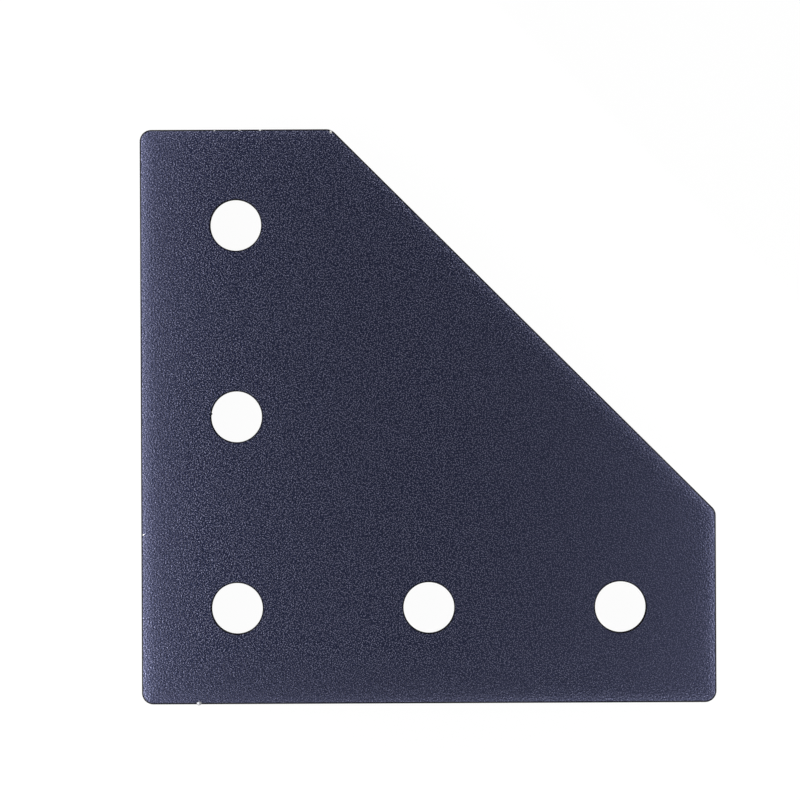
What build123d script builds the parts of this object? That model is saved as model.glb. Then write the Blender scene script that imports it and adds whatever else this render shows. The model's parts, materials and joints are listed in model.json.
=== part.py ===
from build123d import *

import os

# A flat corner joining plate for slotted aluminium profile. It lies across the faces of two
# profiles that meet at a right angle and is screwed into their slots, with one line of holes
# over each slot. A straight bevel runs between the ends of the two legs, so the plate is also
# the corner's gusset.
#
# Frame, in millimetres: the origin is on the corner hole's axis, on the back face, which seats
# on the profiles. +X runs along one leg, +Y along the other, and +Z leaves the front face, on
# which the screw heads bear. The plate is its own mirror image across the diagonal X = Y.

# Holes: clearance holes for the screws
HOLE_PITCH = 20.0  # from one hole to the next along a leg, one profile width
HOLES_PER_LEG = 3  # along each leg, with the corner hole counted in both
SCREW_DIAMETER = 5.0  # shank of the screws that fasten the plate
SCREW_CLEARANCE = 0.3  # how much wider than its screw each hole is drilled

# Outline: two legs with square ends, and the bevel between them
SIDE_MARGIN = 10.0  # from a line of holes to the long outer side beside it
END_MARGIN = 10.0  # from a leg's last hole to the end of the leg
LEG_END_WIDTH = 20.0  # width of a leg's square end, up to where the bevel starts
CORNER_RADIUS = 1.2  # at the three square corners and at the two ends of the bevel

# Section
PLATE_THICKNESS = 4.0

# Edges. Blanking draws the sheet down a little along the front of the outline, and deburring
# then rounds the outline's edges. The holes are drilled after that, and lightly countersunk.
ROLL_WIDTH = 0.9  # how far in from the side the front face starts to fall away
ROLL_DROP = 0.2  # how far it has fallen where it would meet the side
EDGE_RADIUS = 0.2  # rounding of the outline's edges, front and back
HOLE_CHAMFER = 0.12  # countersink that takes the burr off each hole, front and back


def outline():
    """The plate's shape seen from the front, with its corners rounded."""
    near = -SIDE_MARGIN
    far = HOLE_PITCH * (HOLES_PER_LEG - 1) + END_MARGIN
    shoulder = near + LEG_END_WIDTH
    corners = [(near, near), (far, near), (far, shoulder), (shoulder, far), (near, far)]
    with BuildSketch() as shape:
        with BuildLine():
            FilletPolyline(*corners, radius=CORNER_RADIUS, close=True)
        make_face()
    return shape.sketch


def hole_centres():
    """The corner hole's centre, then those outwards along each leg."""
    steps = [HOLE_PITCH * n for n in range(1, HOLES_PER_LEG)]
    return [(0, 0)] + [(step, 0) for step in steps] + [(0, step) for step in steps]


def blank():
    """The plate before drilling: cut from sheet, its front edge rolled and all edges eased."""
    with BuildPart() as plate:
        add(outline())
        extrude(amount=PLATE_THICKNESS)
        front = plate.faces().sort_by(Axis.Z)[-1]
        chamfer(front.edges(), ROLL_WIDTH, ROLL_DROP, reference=front)
        sides = plate.faces().filter_by(lambda face: abs(face.normal_at().Z) < 1e-6)
        along_sides = sides.edges().filter_by(Axis.Z, reverse=True)
        fillet(along_sides, EDGE_RADIUS)
    return plate.part


def joining_plate():
    """The finished plate: the blank with its holes drilled and countersunk."""
    hole_radius = (SCREW_DIAMETER + SCREW_CLEARANCE) / 2
    with BuildPart() as plate:
        add(blank())
        with Locations(*hole_centres()):
            Hole(hole_radius)
        rims = plate.edges().filter_by(
            lambda edge: edge.geom_type == GeomType.CIRCLE and edge.is_closed
        )
        chamfer(rims, HOLE_CHAMFER)
    return plate.part


os.makedirs("parts", exist_ok=True)
export_step(joining_plate(), "parts/joining_plate.step")
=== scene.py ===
import json
import math

import bpy
from bpy.props import FloatProperty, FloatVectorProperty, IntProperty, PointerProperty
from bpy.types import Operator, Panel, PropertyGroup
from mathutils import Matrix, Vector

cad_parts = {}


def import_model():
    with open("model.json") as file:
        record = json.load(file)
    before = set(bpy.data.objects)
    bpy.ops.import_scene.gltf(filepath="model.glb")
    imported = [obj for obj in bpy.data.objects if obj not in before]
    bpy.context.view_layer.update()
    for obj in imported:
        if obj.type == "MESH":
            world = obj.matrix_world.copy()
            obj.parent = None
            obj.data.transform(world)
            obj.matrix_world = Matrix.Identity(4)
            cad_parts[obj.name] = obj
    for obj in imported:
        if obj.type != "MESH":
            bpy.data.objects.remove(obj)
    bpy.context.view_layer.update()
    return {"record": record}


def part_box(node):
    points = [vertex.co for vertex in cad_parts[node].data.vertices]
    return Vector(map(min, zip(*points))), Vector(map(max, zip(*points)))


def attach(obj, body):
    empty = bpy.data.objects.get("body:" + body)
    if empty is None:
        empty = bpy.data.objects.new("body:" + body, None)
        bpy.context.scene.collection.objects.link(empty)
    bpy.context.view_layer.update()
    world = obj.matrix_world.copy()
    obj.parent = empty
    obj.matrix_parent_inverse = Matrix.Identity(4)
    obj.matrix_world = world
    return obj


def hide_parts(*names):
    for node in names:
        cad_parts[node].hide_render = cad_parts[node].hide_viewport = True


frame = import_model()

bl_info = {
    "name": "Extrusion joining plate",
    "version": (1, 0, 0),
    "blender": (4, 5, 0),
    "location": "View3D > Sidebar > Joining Plate",
    "description": "Builds a black anodised joining plate for slotted profile, and its studio",
    "category": "Object",
}

# The plate's frame, in metres: the origin is on the corner hole's axis at the back face, +X and
# +Y run along the legs, and +Z leaves the front face. The plate lies on its back, on the floor.

MILLIMETRE = 0.001
NODE = "joining_plate"
BARE = "bare_metal"  # the mesh attribute that marks where the finish has come off


def mount(name):
    """One of the record's mounts, by name."""
    return next(m for m in frame["record"]["mounts"] if m["name"] == name)


PLATE_LOW, PLATE_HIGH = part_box(NODE)
HOLE_PITCH = mount("x_leg_middle_hole")["pos_m"][0] - mount("corner_hole")["pos_m"][0]
HOLES_PER_LEG = 1 + round(mount("x_leg_end_hole")["pos_m"][0] / HOLE_PITCH)
HOLE_RADIUS = mount("corner_hole")["dims"]["r_mm"] * MILLIMETRE
HOLE_WALL = mount("corner_hole")["dims"]["length_mm"] * MILLIMETRE
THICKNESS = PLATE_HIGH.z - PLATE_LOW.z


# ------------------------------------------------------------------ settings


def length(name, description, default):
    """A size in metres that the sidebar shows in millimetres or whatever unit is set."""
    return FloatProperty(
        name=name, description=description, default=default, unit="LENGTH", precision=5
    )


def share(name, description, default):
    return FloatProperty(name=name, description=description, default=default, min=0, max=1)


def colour(name, description, default):
    return FloatVectorProperty(
        name=name, description=description, default=default, subtype="COLOR", min=0, max=1
    )


class PlateSizes(PropertyGroup):
    """The plate's sizes, with the frame's own where the frame holds them."""

    hole_pitch: length("Hole pitch", "From one hole to the next along a leg", HOLE_PITCH)
    holes_per_leg: IntProperty(
        name="Holes per leg",
        description="Holes in one line, with the corner hole counted in both lines",
        default=HOLES_PER_LEG,
        min=1,
    )
    hole_radius: length("Hole radius", "Radius of the drilled wall", HOLE_RADIUS)
    hole_chamfer: length(
        "Hole chamfer", "Countersink round each hole, both sides", (THICKNESS - HOLE_WALL) / 2
    )
    side_margin: length("Side margin", "From a line of holes to the long side", -PLATE_LOW.x)
    end_margin: length(
        "End margin",
        "From a leg's last hole to its end",
        PLATE_HIGH.x - HOLE_PITCH * (HOLES_PER_LEG - 1),
    )
    leg_end_width: length("Leg end width", "Where the bevel starts", 20 * MILLIMETRE)
    corner_radius: length("Corner radius", "Of all five corners", 1.2 * MILLIMETRE)
    thickness: length("Thickness", "From the back face to the front face", THICKNESS)
    roll_width: length("Roll width", "How far in the front edge's roll starts", 4.2 * MILLIMETRE)
    roll_drop: length("Roll drop", "How far the roll falls at the side", 0.3 * MILLIMETRE)
    edge_radius: length("Edge radius", "Rounding of the outline's edges", 0.2 * MILLIMETRE)
    edge_fall: length("Edge fall", "Height of that rounding at the front", 0.4 * MILLIMETRE)
    outline_step: length("Outline step", "Mesh step along the outline", 0.15 * MILLIMETRE)
    knock_depth: length("Knock depth", "How deep the edge's small knocks are", 0.15 * MILLIMETRE)


class PlateFinish(PropertyGroup):
    """The bead-blasted, black-anodised finish."""

    # pit and ridge are the two ends of the flecks: the deeper is painted shade in the blasted pits,
    # the paler painted glints on the ridges. On average the flecks give the anodising's own colour.
    pit: colour("Pit", "Colour at the bottom of a blasted pit", (0.0066, 0.0094, 0.0312))
    ridge_glint: colour("Ridge", "Colour on the ridges between pits", (0.1342, 0.1370, 0.2060))
    # cut: a near-black colour that reflects nothing, put on every steep face whichever way it
    # faces: painted shade along the rounded edges, on the sides and on the hole chamfers and walls.
    cut: colour("Cut", "Colour of the cut sides and hole walls", (0.008, 0.008, 0.009))
    bare: colour("Bare metal", "Colour where the finish has come off", (0.72, 0.72, 0.72))
    roughness: share("Roughness", "Of the anodised face, between its blasted pits", 0.4)
    metallic: share("Metallic", "How much of the light the metal below the dye sends back", 0.5)
    grain: length("Grain", "Width of a blasted pit", 0.20 * MILLIMETRE)
    grain_depth: length("Grain depth", "Depth of a blasted pit", 0.08 * MILLIMETRE)
    # The flecks are painted pit shade and painted glints; these settings set their width, contrast,
    # level and average share.
    fleck: length("Fleck", "Width of a fleck of paler or deeper dye", 0.115 * MILLIMETRE)
    fleck_contrast: FloatProperty(
        name="Fleck contrast", description="How sharply the flecks stand out", default=5.0, min=0
    )
    fleck_level: share("Fleck level", "Height of the pattern above which a fleck shows", 0.54)
    fleck_share: share("Fleck share", "How much of the ridge colour the face has on average", 0.214)
    # The painted glints and pit shade are made fainter towards the far end along X, where the lamps
    # light the grain more evenly, and near the two long sides, under the rolled edge's highlight.
    fade: share("Fade", "How much fainter the flecks are where they fade", 0.6)
    fade_start: length("Fade start", "Where along X the flecks start to fade", 20 * MILLIMETRE)
    fade_end: length("Fade end", "Where along X they are faintest", 46 * MILLIMETRE)
    side_fade: length("Side fade", "How far in from the two long sides they fade", 6 * MILLIMETRE)


class StageSettings(PropertyGroup):
    """Floor, lamps and camera."""

    floor: colour("Floor", "Colour of the floor", (0.9, 0.9, 0.9))
    view_width: length(
        "View width", "How much the camera sees across, at the front face", 83.52 * MILLIMETRE
    )
    camera_height: length("Camera height", "Of the camera over the floor", 2.0)


# ------------------------------------------------------------------ node trees


class Wire:
    """An output of a node, for use in expressions. Each operator adds the node it stands for."""

    def __init__(self, graph, socket):
        self.graph = graph
        self.socket = socket

    def __add__(self, other):
        return self.graph.math("ADD", self, other)

    def __radd__(self, other):
        return self.graph.math("ADD", other, self)

    def __sub__(self, other):
        return self.graph.math("SUBTRACT", self, other)

    def __rsub__(self, other):
        return self.graph.math("SUBTRACT", other, self)

    def __mul__(self, other):
        return self.graph.math("MULTIPLY", self, other)

    def __rmul__(self, other):
        return self.graph.math("MULTIPLY", other, self)

    def __truediv__(self, other):
        return self.graph.math("DIVIDE", self, other)

    def __rtruediv__(self, other):
        return self.graph.math("DIVIDE", other, self)

    def __neg__(self):
        return self.graph.math("MULTIPLY", self, -1)

    def __gt__(self, other):
        return self.graph.math("GREATER_THAN", self, other)

    def __lt__(self, other):
        return self.graph.math("LESS_THAN", self, other)

    def __abs__(self):
        return self.graph.math("ABSOLUTE", self)


class Graph:
    """Adds nodes to a tree and links them."""

    def __init__(self, tree):
        self.tree = tree

    def node(self, kind, settings=None, inputs=None):
        """A new node. Its settings go in first, as they decide which sockets it has."""
        node = self.tree.nodes.new(kind)
        for name, value in (settings or {}).items():
            setattr(node, name, value)
        for key, value in (inputs or {}).items():
            self.feed(self.shown(node.inputs, key), value)
        return node

    def output(self, node, key=0):
        return Wire(self, self.shown(node.outputs, key))

    def add(self, kind, settings=None, inputs=None, output=0):
        """One output of a new node."""
        return self.output(self.node(kind, settings, inputs), output)

    @staticmethod
    def shown(sockets, key):
        """The socket of that name or number among those that the node's settings leave on."""
        on = [s for s in sockets if s.enabled]
        return on[key] if isinstance(key, int) else next(s for s in on if s.name == key)

    def feed(self, socket, value):
        """Links a wire, or each wire of a list, to an input, or sets the input's own value."""
        if isinstance(value, Wire):
            self.tree.links.new(value.socket, socket)
        elif isinstance(value, list):
            for wire in value:
                self.tree.links.new(wire.socket, socket)
        else:
            socket.default_value = value

    def math(self, operation, *values):
        """Math on numbers, or Vector Math as soon as one of the values is a vector."""
        vectors = [v for v in values if is_vector(v)]
        kind = "ShaderNodeVectorMath" if vectors else "ShaderNodeMath"
        if vectors:
            values = [v if is_vector(v) or isinstance(v, Wire) else (v, v, v) for v in values]
        return self.add(kind, {"operation": operation}, dict(enumerate(values)))

    def vector(self, x=0.0, y=0.0, z=0.0):
        return self.add("ShaderNodeCombineXYZ", inputs={"X": x, "Y": y, "Z": z})

    def blend(self, factor, start, end):
        """From one colour to another. The factor is held between 0 and 1."""
        kind = {"data_type": "RGBA", "clamp_factor": True}
        ends = {"A": opaque(start), "B": opaque(end)}
        return self.add("ShaderNodeMix", kind, {"Factor": factor, **ends})


def opaque(value):
    return value if isinstance(value, Wire) else (*value, 1.0)


def is_vector(value):
    if isinstance(value, Wire):
        return value.socket.type in ("VECTOR", "RGBA")
    return isinstance(value, (tuple, Vector))


# ------------------------------------------------------------------ the plate's shape

GROUP_SOCKETS = {  # the tree's inputs, and the setting that each takes its value from
    "Hole Pitch": "hole_pitch",
    "Holes Per Leg": "holes_per_leg",
    "Hole Radius": "hole_radius",
    "Hole Chamfer": "hole_chamfer",
    "Side Margin": "side_margin",
    "End Margin": "end_margin",
    "Leg End Width": "leg_end_width",
    "Corner Radius": "corner_radius",
    "Thickness": "thickness",
    "Roll Width": "roll_width",
    "Roll Drop": "roll_drop",
    "Edge Radius": "edge_radius",
    "Edge Fall": "edge_fall",
    "Outline Step": "outline_step",
    "Knock Depth": "knock_depth",
}
CORNER_STEPS = 24
EDGE_STEPS = 6
ROLL_STEPS = 16
ROLL_CORNER = 0.25  # corner radius of the roll's inner line, as a share of its width
ROLL_POWER = 6  # how quickly the roll steepens towards the side
ROLL_SPACING = 1.5  # how much closer together the roll's rows of points are at the side
WALL_STEPS = 6
HOLE_STEPS = 128
WELD = 0.0005 * MILLIMETRE
SHARP_ANGLE = math.radians(30)
LEVEL = 0.9999999  # a face whose normal is more upright than this is shaded flat
BEVEL_INSET = math.tan(math.radians(22.5))  # how far an inset moves a bevel corner along the end


def at(graph, outwards, height):
    """A point of a section that Curve to Mesh carries round a path: its X leaves the path, to
    the right of the way the path runs, and its Y points down."""
    return graph.vector(outwards, -height)


def outline(graph, size, inset, radius):
    """The plate's outline seen from the front, anticlockwise, drawn in by an inset."""
    near = inset - size["Side Margin"]
    far = size["Hole Pitch"] * (size["Holes Per Leg"] - 1) + size["End Margin"] - inset
    shoulder = size["Leg End Width"] - size["Side Margin"] - inset * BEVEL_INSET
    corners = [(near, near), (far, near), (far, shoulder), (shoulder, far), (near, far)]
    switch = graph.tree.nodes.new("GeometryNodeIndexSwitch")
    switch.data_type = "VECTOR"
    while len(switch.index_switch_items) < len(corners):
        switch.index_switch_items.new()
    graph.feed(switch.inputs["Index"], graph.add("GeometryNodeInputIndex"))
    for number, corner in enumerate(corners):
        graph.feed(graph.shown(switch.inputs, number + 1), graph.vector(*corner))
    place = Wire(graph, switch.outputs[0])
    points = graph.add("GeometryNodePoints", inputs={"Count": len(corners), "Position": place})
    line = graph.add("GeometryNodePointsToCurves", inputs={"Points": points})
    line = graph.add("GeometryNodeSetSplineCyclic", inputs={0: line, "Cyclic": True})
    line = graph.add(
        "GeometryNodeFilletCurve",
        {"mode": "POLY"},
        {"Curve": line, "Count": CORNER_STEPS, "Radius": radius},
    )
    line = graph.add(
        "GeometryNodeResampleCurve",
        {"mode": "LENGTH"},
        {"Curve": line, "Length": size["Outline Step"]},
    )
    return graph.add("GeometryNodeSetCurveNormal", {"mode": "Z_UP"}, {"Curve": line})


def hole_circles(graph, size):
    """A circle at each hole: one line of holes, folded at the corner hole into the two legs."""
    place = graph.add("GeometryNodeInputIndex") - (size["Holes Per Leg"] - 1)
    along_x = graph.math("MAXIMUM", place, 0) * size["Hole Pitch"]
    along_y = graph.math("MAXIMUM", -place, 0) * size["Hole Pitch"]
    count = size["Holes Per Leg"] * 2 - 1
    centres = graph.add(
        "GeometryNodePoints", inputs={"Count": count, "Position": graph.vector(along_x, along_y)}
    )
    circle = graph.add(
        "GeometryNodeCurvePrimitiveCircle",
        {"mode": "RADIUS"},
        {"Resolution": HOLE_STEPS, "Radius": size["Hole Radius"]},
    )
    holes = {"Points": centres, "Instance": circle}
    holes = graph.add("GeometryNodeInstanceOnPoints", inputs=holes)
    holes = graph.add("GeometryNodeRealizeInstances", inputs={0: holes})
    return graph.add("GeometryNodeSetCurveNormal", {"mode": "Z_UP"}, {"Curve": holes})


def arc(graph, steps, start, middle, end):
    return graph.add(
        "GeometryNodeCurveQuadraticBezier",
        inputs={"Resolution": steps, "Start": start, "Middle": middle, "End": end},
    )


def straight(graph, steps, start, end):
    line = graph.add("GeometryNodeCurvePrimitiveLine", inputs={"Start": start, "End": end})
    points = {"Curve": line, "Count": steps + 1}
    return graph.add("GeometryNodeResampleCurve", {"mode": "COUNT"}, points)


def rolled(graph, size, inwards):
    """How far the front has fallen at a distance in from the side, and how steeply it falls."""
    outwards = 1 - inwards / size["Roll Width"]
    slope = graph.math("POWER", outwards, ROLL_POWER - 1) * size["Roll Drop"]
    return slope * outwards, ROLL_POWER * slope / size["Roll Width"]


def side_section(graph, size):
    """From the inner end of the roll, across it, down the side and round to the back face. Its
    X is 0 at the line where the rounding of the edge starts."""
    edge = size["Edge Radius"]
    fall, slope = rolled(graph, size, edge)
    shoulder = size["Thickness"] - fall
    shoulder_point = at(graph, 0.0, shoulder)
    side_top = at(graph, edge, shoulder - size["Edge Fall"])
    side_foot = at(graph, edge, edge)
    parts = [
        straight(graph, ROLL_STEPS, at(graph, edge - size["Roll Width"], shoulder), shoulder_point),
        arc(graph, EDGE_STEPS, shoulder_point, at(graph, edge, shoulder - slope * edge), side_top),
        straight(graph, WALL_STEPS, side_top, side_foot),
        arc(graph, EDGE_STEPS, side_foot, at(graph, edge, 0.0), at(graph, 0.0, 0.0)),
    ]
    return graph.add("GeometryNodeJoinGeometry", inputs={0: parts})


def hole_section(graph, size):
    """Up the inside of a hole, from the back face's countersink to the front face's."""
    front, chamfer = size["Thickness"], size["Hole Chamfer"]
    parts = [
        straight(graph, 1, at(graph, chamfer, 0.0), at(graph, 0.0, chamfer)),
        straight(graph, WALL_STEPS, at(graph, 0.0, chamfer), at(graph, 0.0, front - chamfer)),
        straight(graph, 1, at(graph, 0.0, front - chamfer), at(graph, chamfer, front)),
    ]
    return graph.add("GeometryNodeJoinGeometry", inputs={0: parts})


def kept(graph, curve, value):
    """A vector kept on each point of a curve, to be read on the mesh that is made from it."""
    node = graph.tree.nodes.new("GeometryNodeCaptureAttribute")
    node.capture_items.new("VECTOR", "Value")
    graph.feed(node.inputs["Geometry"], curve)
    graph.feed(node.inputs["Value"], value)
    return Wire(graph, node.outputs["Geometry"]), Wire(graph, node.outputs["Value"])


def nearest(graph, curve, place, output):
    """The point of a curve that lies nearest to a place, or how far away it is."""
    line = graph.add("GeometryNodeCurveToMesh", inputs={"Curve": curve})
    target = {"target_element": "EDGES"}
    return graph.add("GeometryNodeProximity", target, {0: line, "Sample Position": place}, output)


def welded(graph, mesh):
    return graph.add("GeometryNodeMergeByDistance", inputs={"Geometry": mesh, "Distance": WELD})


def sides(graph, size):
    """The rolled rim of the front face, the edges and the sides. The roll is wider than the
    corners are round, so its points go where the nearest point of its inner line says, and fall
    by how far in from the side they come to lie."""
    edge, width = size["Edge Radius"], size["Roll Width"]
    shoulder = outline(graph, size, edge, size["Corner Radius"] - edge)
    inner = outline(graph, size, width, width * ROLL_CORNER)
    place = graph.add("GeometryNodeInputPosition")
    path, start = kept(graph, shoulder, place)
    section, across = kept(graph, side_section(graph, size), place)
    mesh = graph.add("GeometryNodeCurveToMesh", inputs={"Curve": path, "Profile Curve": section})
    inwards = -graph.add("ShaderNodeSeparateXYZ", inputs={0: across}, output="X")
    on_roll = inwards > WELD
    end = nearest(graph, inner, start, "Position")
    along = graph.math("POWER", inwards / (width - edge), ROLL_SPACING)
    spot = start + (end - start) * along
    distance = graph.math("MINIMUM", edge + nearest(graph, shoulder, spot, "Distance"), width)
    height = size["Thickness"] - rolled(graph, size, distance)[0]
    spot = graph.math("ADD", spot, graph.vector(z=height))
    mesh = graph.add(
        "GeometryNodeSetPosition", inputs={"Geometry": mesh, "Selection": on_roll, "Position": spot}
    )
    return welded(graph, mesh)


def hole_walls(graph, size):
    mesh = graph.add(
        "GeometryNodeCurveToMesh",
        inputs={"Curve": hole_circles(graph, size), "Profile Curve": hole_section(graph, size)},
    )
    return welded(graph, mesh)


# Each flaw's place in millimetres, its half sizes in knock depths, and how bare its metal is.
KNOCKS = (  # taken out of the edge
    ((9.98, 49.74, 3.75), (0.8, 1.5, 1.2), 1.0),
    ((-9.8, 7.73, 3.8), (0.8, 0.42, 0.8), 1.0),
    ((-2.2, 49.9, 3.7), (0.7, 0.6, 1.0), 0.6),
    ((0.43, 49.98, 3.6), (0.8, 0.9, 3.0), 0.6),
    ((2.58, 49.98, 3.6), (1.0, 0.9, 3.0), 0.6),
)
BURRS = (  # left standing on it
    ((-4.0, -9.88, 3.72), (1.8, 1.4, 0.9), 0.35),
    ((-2.63, 20.32, 3.85), (0.8, 0.8, 0.8), 0.0),
)
LUMP_STEPS = 4  # how often the ball that a flaw starts from is divided
LUMP_ROUGHNESS = 0.35  # how far a flaw's surface is pushed about, as a share of its half size
LUMP_SCALE = 1.3  # how fine that is


def lump(graph, depth, seed, place, shape, bare):
    """A small ragged lump, marked with how bare its metal is."""
    ball = {"Radius": 1.0, "Subdivisions": LUMP_STEPS}
    ball = graph.add("GeometryNodeMeshIcoSphere", inputs=ball)
    place_on_ball = graph.add("GeometryNodeInputPosition")
    noise = {"Vector": place_on_ball, "W": float(seed), "Scale": LUMP_SCALE}
    noise = graph.add("ShaderNodeTexNoise", {"noise_dimensions": "4D"}, noise, "Color")
    push = (noise - 0.5) * (2 * LUMP_ROUGHNESS)
    ball = graph.add("GeometryNodeSetPosition", inputs={"Geometry": ball, "Offset": push})
    centre = tuple(value * MILLIMETRE for value in place)
    moved = {"Geometry": ball, "Translation": centre, "Scale": graph.math("MULTIPLY", shape, depth)}
    return marked(graph, graph.add("GeometryNodeTransform", inputs=moved), bare)


def flawed(graph, size, plate):
    """The plate with its knocks taken out and its burrs put on."""
    plate = marked(graph, plate, 0.0)
    depth = size["Knock Depth"]
    knocks = [lump(graph, depth, seed, *entry) for seed, entry in enumerate(KNOCKS)]
    burrs = [lump(graph, depth, seed + len(KNOCKS), *entry) for seed, entry in enumerate(BURRS)]
    taken = graph.add("GeometryNodeJoinGeometry", inputs={0: knocks})
    cut = graph.node("GeometryNodeMeshBoolean", {"operation": "DIFFERENCE", "solver": "MANIFOLD"})
    graph.feed(cut.inputs["Mesh 1"], plate)
    graph.feed(cut.inputs["Mesh 2"], taken)
    whole = graph.node("GeometryNodeMeshBoolean", {"operation": "UNION", "solver": "MANIFOLD"})
    graph.feed(whole.inputs["Mesh 2"], [graph.output(cut, "Mesh"), *burrs])
    return welded(graph, graph.output(whole, "Mesh"))


def marked(graph, mesh, bare):
    """A mesh that says, face by face, how much of its finish has come off."""
    kind = {"data_type": "FLOAT", "domain": "FACE"}
    return graph.add(
        "GeometryNodeStoreNamedAttribute", kind, {"Geometry": mesh, "Name": BARE, "Value": bare}
    )


def face_between(graph, walls, keep, height):
    """A flat face that closes the open rims of the walls on one side of the plate."""
    lone = graph.add("GeometryNodeInputMeshEdgeNeighbors") < 2
    rims = graph.add("GeometryNodeMeshToCurve", inputs={"Mesh": walls, "Selection": lone * keep})
    flat = graph.add("GeometryNodeFillCurve", {"mode": "TRIANGLES"}, {"Curve": rims})
    return graph.add(
        "GeometryNodeSetPosition", inputs={"Geometry": flat, "Offset": graph.vector(z=height)}
    )


def plate_tree(material):
    """The Geometry Nodes tree that makes the plate from its sizes."""
    tree = bpy.data.node_groups.new("Joining plate", "GeometryNodeTree")
    for name in GROUP_SOCKETS:
        kind = "NodeSocketInt" if name == "Holes Per Leg" else "NodeSocketFloat"
        tree.interface.new_socket(name, in_out="INPUT", socket_type=kind)
    tree.interface.new_socket("Geometry", in_out="OUTPUT", socket_type="NodeSocketGeometry")
    graph = Graph(tree)
    given = tree.nodes.new("NodeGroupInput")
    size = {name: Wire(graph, given.outputs[name]) for name in GROUP_SOCKETS}

    walls = [sides(graph, size), hole_walls(graph, size)]
    walls = graph.add("GeometryNodeJoinGeometry", inputs={0: walls})
    place = graph.add("GeometryNodeInputPosition")
    height = graph.add("ShaderNodeSeparateXYZ", inputs={0: place}, output="Z")
    upper = height > size["Thickness"] / 2
    front = face_between(graph, walls, upper, size["Thickness"])
    back = face_between(graph, walls, 1 - upper, 0.0)
    back = graph.add("GeometryNodeFlipFaces", inputs={"Mesh": back})
    shape = graph.add("GeometryNodeJoinGeometry", inputs={0: [walls, front, back]})
    shape = flawed(graph, size, welded(graph, shape))
    facing = graph.add("GeometryNodeInputNormal")
    curved = abs(graph.add("ShaderNodeSeparateXYZ", inputs={0: facing}, output="Z")) < LEVEL
    shape = graph.add(
        "GeometryNodeSetShadeSmooth",
        {"domain": "FACE"},
        {"Geometry": shape, "Shade Smooth": curved},
    )
    bent = graph.add("GeometryNodeInputMeshEdgeAngle") < SHARP_ANGLE
    shape = graph.add(
        "GeometryNodeSetShadeSmooth", {"domain": "EDGE"}, {"Geometry": shape, "Shade Smooth": bent}
    )
    shape = graph.add("GeometryNodeRealizeInstances", inputs={0: shape})
    shape = graph.add("GeometryNodeSetMaterial", inputs={"Geometry": shape, "Material": material})
    graph.feed(tree.nodes.new("NodeGroupOutput").inputs["Geometry"], shape)
    return tree


def made_plain(tree, settings, name):
    """A plain mesh object from a tree, with the tree's inputs taken from the settings."""
    maker = bpy.data.objects.new(name, bpy.data.meshes.new(name))
    bpy.context.scene.collection.objects.link(maker)
    modifier = maker.modifiers.new("Shape", "NODES")
    modifier.node_group = tree
    for item in tree.interface.items_tree:
        if item.item_type == "SOCKET" and item.in_out == "INPUT":
            modifier[item.identifier] = getattr(settings, GROUP_SOCKETS[item.name])
    shown = maker.evaluated_get(bpy.context.evaluated_depsgraph_get())
    mesh = bpy.data.meshes.new_from_object(shown)
    while None in mesh.materials[:]:
        mesh.materials.pop(index=mesh.materials[:].index(None))
    maker.modifiers.remove(modifier)
    maker.data = mesh
    mesh.name = name
    return maker


# ------------------------------------------------------------------ the finish

# The cut colour on steep faces is painted shade; these turns decide where that painted shade starts
# and where it is full.
STEEP_SHADE_TURN = (0.915, 0.785)  # how upright the normal is where the cut colour starts and is full
CUT_ROUGHNESS = 0.8
BARE_ROUGHNESS = 0.5
FACE_SPECULAR = 0.25
BARE_SPECULAR = 0.5
FLECK_TURN = math.radians(27)  # keeps the rows of the pattern off the plate's own lines


def ramp(graph, value, start, end):
    """From 0 where the value is at the start to 1 where it is at the end, and held there."""
    return graph.add(
        "ShaderNodeMapRange",
        {"data_type": "FLOAT", "clamp": True},
        {"Value": value, "From Min": start, "From Max": end},
    )


def metal(graph, base, roughness, metallic, specular, bump):
    """One of the plate's three surfaces: the dyed face with its painted pit shade and glints, the
    cut side in near-black painted shade, or the bare metal.
    """
    return graph.add(
        "ShaderNodeBsdfPrincipled",
        inputs={
            "Base Color": opaque(base),
            "Roughness": roughness,
            "Metallic": metallic,
            "Specular IOR Level": specular,
            "Normal": bump,
        },
    )


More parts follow.
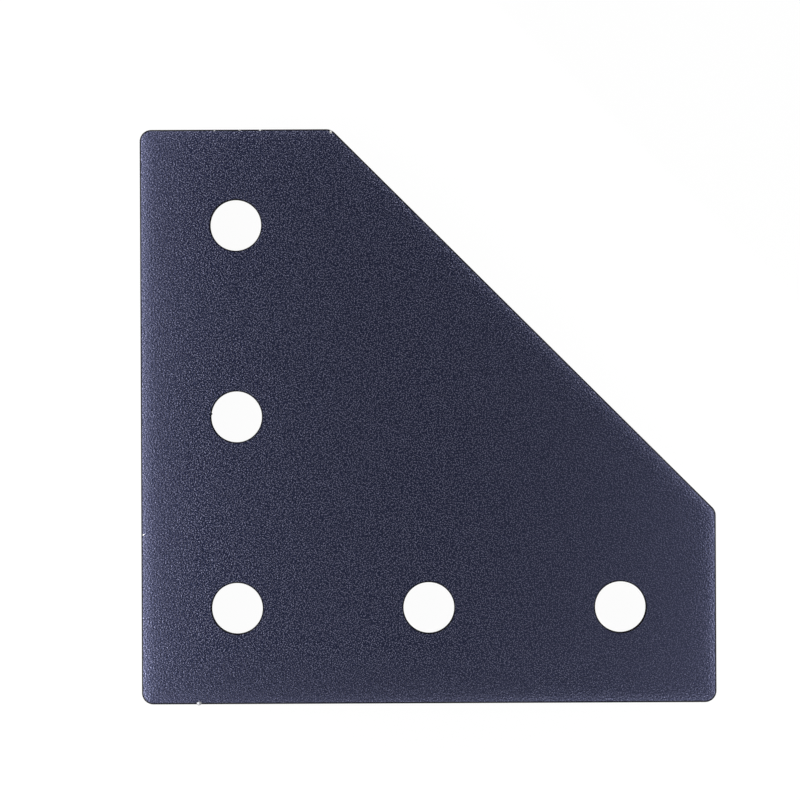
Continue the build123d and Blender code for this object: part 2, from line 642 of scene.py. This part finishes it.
def anodised(finish):
    """Bead-blasted aluminium, dyed black: matt, faintly violet, with fine blasted grain. Its flecks
    are painted pit shade and painted glints, and its steep faces take a near-black painted shade.
    """
    material = bpy.data.materials.new("blasted_black_anodising")
    material.use_nodes = True
    tree = material.node_tree
    tree.nodes.clear()
    graph = Graph(tree)
    place = graph.add("ShaderNodeTexCoord", output="Object")
    pits = graph.add(
        "ShaderNodeTexNoise",
        {"noise_dimensions": "2D"},
        {"Vector": place, "Scale": 1 / finish.grain, "Detail": 1.0, "Roughness": 0.5},
        "Fac",
    )
    turned = {"Vector": place, "Rotation": (0, 0, FLECK_TURN)}
    turned = graph.add("ShaderNodeMapping", inputs=turned)
    fine = graph.add(
        "ShaderNodeTexNoise",
        {"noise_dimensions": "2D"},
        {"Vector": turned, "Scale": 1 / finish.fleck, "Detail": 0.0},
        "Fac",
    )
    spot = graph.node("ShaderNodeSeparateXYZ", inputs={0: place})
    along, across = graph.output(spot, "X"), graph.output(spot, "Y")
    # Where the painted glints and pit shade fade: towards the far end along X and near the two long
    # sides.
    inwards = graph.math("MINIMUM", along - PLATE_LOW.x, across - PLATE_LOW.y)
    by_sides = ramp(graph, inwards, finish.side_fade, 0.0)
    by_end = ramp(graph, along, finish.fade_start, finish.fade_end)
    faded = graph.math("MAXIMUM", by_end, by_sides) * finish.fade
    # The flecks: painted shade in the blasted pits and painted glints on the ridges, round the
    # anodising's own colour.
    flecks = graph.math("MINIMUM", (fine - finish.fleck_level) * finish.fleck_contrast, 1)
    flecks = graph.math("MAXIMUM", flecks, 0)
    shade = finish.fleck_share + (flecks - finish.fleck_share) * (1 - faded)
    dye_with_painted_shade_and_glints = graph.blend(shade, tuple(finish.pit), tuple(finish.ridge_glint))
    # Steep faces take the cut colour, a painted shade that reflects nothing, along the rounded
    # edges, the sides and the hole chamfers and walls.
    upright = graph.add("ShaderNodeTexCoord", output="Normal")
    upright = abs(graph.add("ShaderNodeSeparateXYZ", inputs={0: upright}, output="Z"))
    cut = ramp(graph, upright, *STEEP_SHADE_TURN)
    bare = graph.add("ShaderNodeAttribute", {"attribute_name": BARE}, output="Fac")
    bump = graph.add(
        "ShaderNodeBump", inputs={"Height": pits, "Strength": 1.0, "Distance": finish.grain_depth}
    )
    face = metal(graph, dye_with_painted_shade_and_glints, finish.roughness, finish.metallic, FACE_SPECULAR, bump)
    side = metal(graph, tuple(finish.cut), CUT_ROUGHNESS, 0.0, 0.0, bump)
    chip = metal(graph, tuple(finish.bare), BARE_ROUGHNESS, finish.metallic, BARE_SPECULAR, bump)
    surface = graph.add("ShaderNodeMixShader", inputs={0: cut, 1: face, 2: side})
    surface = graph.add("ShaderNodeMixShader", inputs={0: bare, 1: surface, 2: chip})
    graph.feed(tree.nodes.new("ShaderNodeOutputMaterial").inputs["Surface"], surface)
    return material


# ------------------------------------------------------------------ the studio


FLOOR_WHITE = 0.97  # how much of the floor looks plain white; the rest takes the shadow
FLOOR_REACH = 3.0  # from the middle to each side, in metres


def floor_finish(settings):
    """Pale floor that the camera sees as white, with the plate's shadow still on it."""
    material = bpy.data.materials.new("floor")
    material.use_nodes = True
    tree = material.node_tree
    tree.nodes.clear()
    graph = Graph(tree)
    path = graph.node("ShaderNodeLightPath")
    seen = graph.output(path, "Is Camera Ray")
    for ray in ("Is Glossy Ray", "Is Transmission Ray"):
        seen = graph.math("MAXIMUM", seen, graph.output(path, ray))
    matt = graph.add("ShaderNodeBsdfDiffuse", inputs={"Color": (*settings.floor, 1.0)})
    white = graph.add("ShaderNodeEmission", inputs={"Color": (1, 1, 1, 1), "Strength": 1.0})
    surface = graph.add("ShaderNodeMixShader", inputs={0: seen * FLOOR_WHITE, 1: matt, 2: white})
    graph.feed(tree.nodes.new("ShaderNodeOutputMaterial").inputs["Surface"], surface)
    return material


def floor(settings):
    """A wide square floor under the plate."""
    mesh = bpy.data.meshes.new("floor")
    turns = ((-1, -1), (1, -1), (1, 1), (-1, 1))
    corners = [(x * FLOOR_REACH, y * FLOOR_REACH, 0) for x, y in turns]
    mesh.from_pydata(corners, [], [range(len(corners))])
    mesh.materials.append(floor_finish(settings))
    ground = bpy.data.objects.new("floor", mesh)
    bpy.context.scene.collection.objects.link(ground)


LAMPS = {  # place, target, and width and height, all in millimetres, and watts
    "high_left": ((-45, 15, 80), (-5, 15, 4), (24, 110), 0.0311),
    "left": ((-25, 15, 10), (-5, 15, 4), (100, 6), 0.0282),
    "left_edge": ((-14, 15, 13), (-9, 15, 4), (110, 3), 0.0032),
    "upper_left": ((-46, 72, 22), (-8, 40, 4), (14, 30), 0.0135),
    "lower_left": ((-42, -22, 12), (-8, -5, 4), (10, 30), 0.0275),
    "high_right": ((105, 0, 60), (48, 0, 4), (20, 70), 0.0084),
    "right": ((66, 0, 12), (45, 0, 4), (50, 8), 0.0130),
    "high_bevel": ((75, 75, 60), (30, 30, 4), (60, 20), 0.0360),
    "bevel": ((45, 45, 7), (25, 25, 4), (60, 2), 0.0083),
    "top": ((-2, 68, 14), (-2, 45, 4), (30, 8), 0.0044),
    "bottom": ((20, -40, 30), (20, 0, 4), (70, 18), 0.0148),
    "lower_right": ((60, -50, 30), (35, -5, 4), (50, 18), 0.0186),
}


def lamp(name, place, target, size, power):
    """A soft rectangular lamp that faces a target, unseen by the camera itself."""
    light = bpy.data.lights.new(name, "AREA")
    light.shape = "RECTANGLE"
    light.size = size[0] * MILLIMETRE
    light.size_y = size[1] * MILLIMETRE
    light.energy = power
    holder = bpy.data.objects.new(name, light)
    holder.location = Vector(place) * MILLIMETRE
    away = Vector(target) - Vector(place)
    holder.rotation_euler = away.to_track_quat("-Z", "Y").to_euler()
    holder.visible_camera = False
    bpy.context.scene.collection.objects.link(holder)


CAMERA_SHIFT = Vector((-2.924, 1.687, 0.0)) * MILLIMETRE  # from above the plate's centre
CAMERA_ROLL = math.radians(-0.25)
SENSOR_WIDTH = 36.0  # in millimetres, as Blender gives it
FAR = 100.0  # how far the camera sees, in metres


def camera(settings, centre):
    """Straight above the plate, with a lens long enough that no hole shows its wall."""
    eye = bpy.data.cameras.new("camera")
    eye.sensor_width = SENSOR_WIDTH
    distance = settings.camera_height - THICKNESS
    eye.lens = SENSOR_WIDTH * distance / settings.view_width
    eye.clip_end = FAR
    holder = bpy.data.objects.new("camera", eye)
    holder.location = Vector((centre.x, centre.y, settings.camera_height)) + CAMERA_SHIFT
    holder.rotation_euler = (0.0, 0.0, CAMERA_ROLL)
    bpy.context.scene.collection.objects.link(holder)
    bpy.context.scene.camera = holder


def world():
    """A dark surrounding: the lamps and the pale floor give all the light."""
    sky = bpy.data.worlds.new("surroundings")
    sky.use_nodes = True
    sky.node_tree.nodes["Background"].inputs["Color"].default_value = (0.0, 0.0, 0.0, 1.0)
    bpy.context.scene.world = sky


# ------------------------------------------------------------------ operators


class PLATE_OT_joining_plate(Operator):
    """Makes the plate in place of its plain solid, with its rolled edge and its finish"""

    bl_idname = "joining_plate.make_plate"
    bl_label = "Make the joining plate"

    def execute(self, context):
        material = anodised(context.scene.plate_finish)
        plate = made_plain(plate_tree(material), context.scene.plate_sizes, "plate")
        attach(plate, "root")
        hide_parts(NODE)
        return {"FINISHED"}


class PLATE_OT_studio(Operator):
    """Makes the floor, the lamps and the camera"""

    bl_idname = "joining_plate.make_studio"
    bl_label = "Make the studio"

    def execute(self, context):
        settings = context.scene.plate_stage
        floor(settings)
        world()
        for name, (place, target, size, power) in LAMPS.items():
            lamp(name, place, target, size, power)
        camera(settings, (PLATE_LOW + PLATE_HIGH) / 2)
        context.scene.view_settings.view_transform = "Standard"
        return {"FINISHED"}


class VIEW3D_PT_joining_plate(Panel):
    """Lists what can be made"""

    bl_label = "Joining Plate"
    bl_idname = "VIEW3D_PT_joining_plate"
    bl_space_type = "VIEW_3D"
    bl_region_type = "UI"
    bl_category = "Joining Plate"

    def draw(self, context):
        layout = self.layout
        for operator in OPERATORS:
            layout.operator(operator.bl_idname)
        for name in SETTINGS:
            group = getattr(context.scene, name)
            box = layout.box()
            for prop in group.bl_rna.properties:
                if prop.identifier not in ("rna_type", "name"):
                    box.prop(group, prop.identifier)


SETTINGS = {"plate_sizes": PlateSizes, "plate_finish": PlateFinish, "plate_stage": StageSettings}
OPERATORS = (PLATE_OT_joining_plate, PLATE_OT_studio)


def register():
    for group in (*SETTINGS.values(), *OPERATORS, VIEW3D_PT_joining_plate):
        bpy.utils.register_class(group)
    for name, group in SETTINGS.items():
        setattr(bpy.types.Scene, name, PointerProperty(type=group))


def unregister():
    for name in SETTINGS:
        delattr(bpy.types.Scene, name)
    for group in (VIEW3D_PT_joining_plate, *reversed(OPERATORS), *reversed(SETTINGS.values())):
        bpy.utils.unregister_class(group)


def main():
    register()
    bpy.ops.joining_plate.make_plate()
    bpy.ops.joining_plate.make_studio()


if __name__ == "__main__":
    main()
